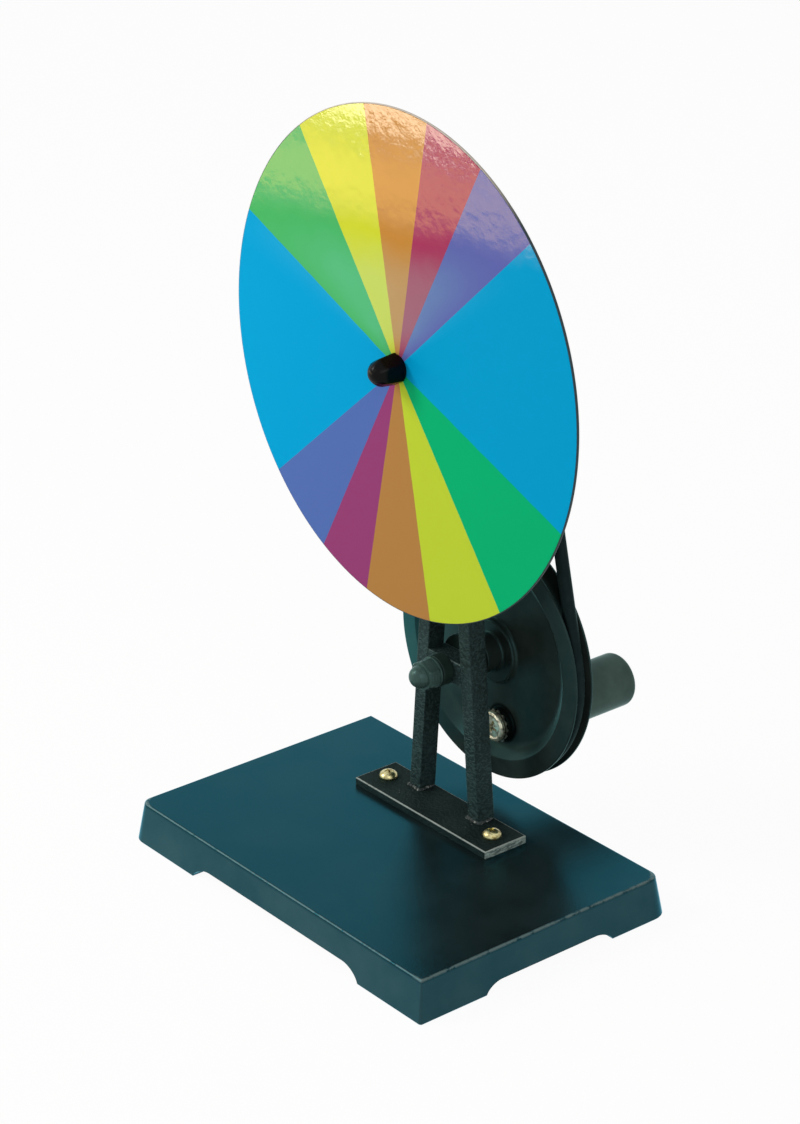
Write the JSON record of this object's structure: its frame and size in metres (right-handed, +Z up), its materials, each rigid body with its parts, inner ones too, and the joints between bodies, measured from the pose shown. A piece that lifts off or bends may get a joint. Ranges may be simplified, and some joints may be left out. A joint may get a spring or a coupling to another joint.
{
  "type": "newton color disc with crank",
  "caption": "Hand-cranked demonstration stand: a crank wheel and a round belt spin a disc printed with rainbow sectors above a hollow rectangular base.",
  "frame": {"origin": "on the table, under the middle of the base's footprint", "axes": "+Z up, +X along the base's long side, +Y from the disc's printed face back towards the crank grip"},
  "size_m": [0.178, 0.1634, 0.2789],
  "materials": {
    "base_paint": "semi-gloss black stove paint with a fine orange-peel texture",
    "stand_paint": "black wrinkle paint, rubbed bright on sharp edges",
    "steel": "plain turned steel",
    "bright_steel": "bright zinc plating",
    "yellow_zinc": "yellow zinc plating",
    "brass": "turned brass",
    "wheel_plastic": "black moulded plastic, satin",
    "grip_plastic": "black moulded plastic, satin",
    "knob_plastic": "black moulded plastic, glossy",
    "black_nut": "black painted steel",
    "belt_rubber": "round black rubber",
    "disc_print": "printed colour sectors under a glossy clear film"
  },
  "bodies": {
    "stand": {"base": "base_paint", "foot_plate": "stand_paint", "left_upright": "stand_paint", "right_upright": "stand_paint", "cross_bar": "stand_paint", "front_axle_boss": "stand_paint", "rear_axle_boss": "stand_paint", "spindle_tube": "stand_paint", "axle_bushes": "brass", "spindle_bushes": "brass", "foot_screws": "yellow_zinc", "foot_washers": "steel", "foot_nuts": "steel", "drive_belt": "belt_rubber"},
    "drive_wheel": {"drive_wheel": "wheel_plastic", "axle": "steel", "axle_washers": "steel", "axle_cap_nut": "black_nut", "wheel_grub_screw": "steel"},
    "crank": {"crank_handle": "grip_plastic", "crank_sleeve": "steel", "crank_washer": "bright_steel", "crank_screw": "bright_steel"},
    "disc_spindle": {"spindle": "steel", "color_disc": "disc_print", "disc_hub": "wheel_plastic", "disc_knob": "knob_plastic", "small_pulley": "wheel_plastic", "spindle_washers": "steel", "spindle_grub_screws": "steel"}
  },
  "joints": [
    {"name": "crank_wheel_turn", "type": "hinge", "parent": "stand", "child": "drive_wheel", "pos_m": [-0.0034, 0.04975, 0.0723], "axis": [0, 1, 0], "continuous": true},
    {"name": "grip_turn", "type": "hinge", "parent": "drive_wheel", "child": "crank", "pos_m": [0.00122, 0.051, 0.04468], "axis": [0, 1, 0], "continuous": true},
    {"name": "disc_spin", "type": "hinge", "parent": "stand", "child": "disc_spindle", "pos_m": [-0.0034, 0.03025, 0.1899], "axis": [0, 1, 0], "continuous": true}
  ],
  "couplings": [
    {"joint": "disc_spin", "follows": "crank_wheel_turn", "ratio": 2.4802}
  ]
}
